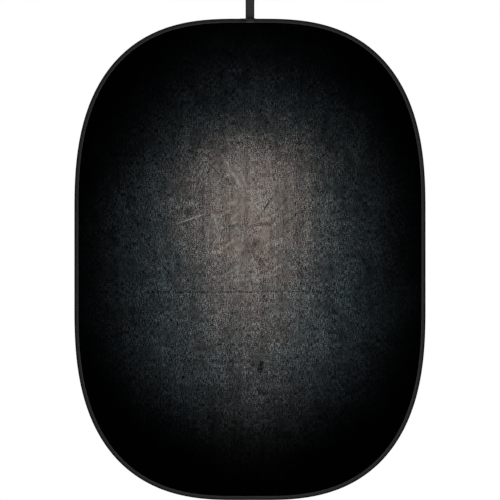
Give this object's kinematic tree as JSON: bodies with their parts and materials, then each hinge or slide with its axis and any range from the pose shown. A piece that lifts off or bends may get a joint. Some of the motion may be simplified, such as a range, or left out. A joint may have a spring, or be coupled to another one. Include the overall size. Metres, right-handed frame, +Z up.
{
  "type": "collapsible photo backdrop",
  "caption": "Tall rounded-rectangle collapsible photo backdrop: dark mottled cloth on a spring-steel rim, taped edge and a webbing hanging loop",
  "frame": {"origin": "inside top of the hanging loop, where a hook bears, on the strap's middle plane", "axes": "+Z up, the panel hanging below; -Y out of the printed face; +X to the right seen from the front"},
  "size_m": [1.532, 0.039, 2.3015],
  "materials": {
    "printed_cloth": "matte",
    "lining_cloth": "matte",
    "binding_tape": "matte",
    "webbing": "matte",
    "spring_steel": "satin",
    "label_satin": "satin"
  },
  "bodies": {
    "hanging_strap": {"hang_loop": "webbing"},
    "panel_left_outer": {"front_cloth_left_outer": "printed_cloth", "rear_cloth_left_outer": "lining_cloth", "binding_left_outer": "binding_tape", "spring_band_left_outer": "spring_steel"},
    "panel_left_middle": {"front_cloth_left_middle": "printed_cloth", "rear_cloth_left_middle": "lining_cloth", "binding_top_left_middle": "binding_tape", "binding_bottom_left_middle": "binding_tape", "spring_band_top_left_middle": "spring_steel", "spring_band_bottom_left_middle": "spring_steel"},
    "panel_left_inner": {"front_cloth_left_inner": "printed_cloth", "rear_cloth_left_inner": "lining_cloth", "binding_top_left_inner": "binding_tape", "binding_bottom_left_inner": "binding_tape", "spring_band_top_left_inner": "spring_steel", "spring_band_bottom_left_inner": "spring_steel"},
    "panel_centre": {"front_cloth_centre": "printed_cloth", "rear_cloth_centre": "lining_cloth", "binding_top_centre": "binding_tape", "binding_bottom_centre": "binding_tape", "spring_band_top_centre": "spring_steel", "spring_band_bottom_left_end": "spring_steel", "spring_band_bottom_right_end": "spring_steel", "splice_sleeve": "spring_steel", "splice_rivet_left": "spring_steel", "splice_rivet_right": "spring_steel", "binding_lap": "binding_tape", "strap_tail_front": "webbing", "strap_tail_rear": "webbing"},
    "panel_right_inner": {"front_cloth_right_inner": "printed_cloth", "rear_cloth_right_inner": "lining_cloth", "binding_top_right_inner": "binding_tape", "binding_bottom_right_inner": "binding_tape", "spring_band_top_right_inner": "spring_steel", "spring_band_bottom_right_inner": "spring_steel"},
    "panel_right_middle": {"front_cloth_right_middle": "printed_cloth", "rear_cloth_right_middle": "lining_cloth", "binding_top_right_middle": "binding_tape", "binding_bottom_right_middle": "binding_tape", "spring_band_top_right_middle": "spring_steel", "spring_band_bottom_right_middle": "spring_steel"},
    "panel_right_outer": {"front_cloth_right_outer": "printed_cloth", "rear_cloth_right_outer": "lining_cloth", "binding_right_outer": "binding_tape", "spring_band_right_outer": "spring_steel", "care_label": "label_satin"}
  },
  "joints": [
    {"name": "panel_swing", "type": "hinge", "parent": "hanging_strap", "child": "panel_centre", "pos_m": [0, 0, -0.1964], "axis": [1, 0, 0], "range_deg": [-80, 80]},
    {"name": "fold_right_inner", "type": "hinge", "parent": "panel_centre", "child": "panel_right_inner", "pos_m": [0.065, -0.00905, -1.25], "axis": [0, 0, -1], "range_deg": [-38, 38], "stiffness_Nm_per_rad": 6},
    {"name": "fold_right_middle", "type": "hinge", "parent": "panel_right_inner", "child": "panel_right_middle", "pos_m": [0.195, -0.00905, -1.25], "axis": [0, 0, -1], "range_deg": [-38, 38], "stiffness_Nm_per_rad": 6},
    {"name": "fold_right_outer", "type": "hinge", "parent": "panel_right_middle", "child": "panel_right_outer", "pos_m": [0.325, -0.00905, -1.25], "axis": [0, 0, -1], "range_deg": [-38, 38], "stiffness_Nm_per_rad": 6},
    {"name": "fold_left_inner", "type": "hinge", "parent": "panel_centre", "child": "panel_left_inner", "pos_m": [-0.065, -0.00905, -1.25], "axis": [0, 0, 1], "range_deg": [-38, 38], "stiffness_Nm_per_rad": 6},
    {"name": "fold_left_middle", "type": "hinge", "parent": "panel_left_inner", "child": "panel_left_middle", "pos_m": [-0.195, -0.00905, -1.25], "axis": [0, 0, 1], "range_deg": [-38, 38], "stiffness_Nm_per_rad": 6},
    {"name": "fold_left_outer", "type": "hinge", "parent": "panel_left_middle", "child": "panel_left_outer", "pos_m": [-0.325, -0.00905, -1.25], "axis": [0, 0, 1], "range_deg": [-38, 38], "stiffness_Nm_per_rad": 6}
  ],
  "couplings": [
    {"joint": "fold_right_middle", "follows": "fold_right_inner", "ratio": 1},
    {"joint": "fold_right_outer", "follows": "fold_right_inner", "ratio": 1},
    {"joint": "fold_left_inner", "follows": "fold_right_inner", "ratio": 1},
    {"joint": "fold_left_middle", "follows": "fold_right_inner", "ratio": 1},
    {"joint": "fold_left_outer", "follows": "fold_right_inner", "ratio": 1}
  ]
}
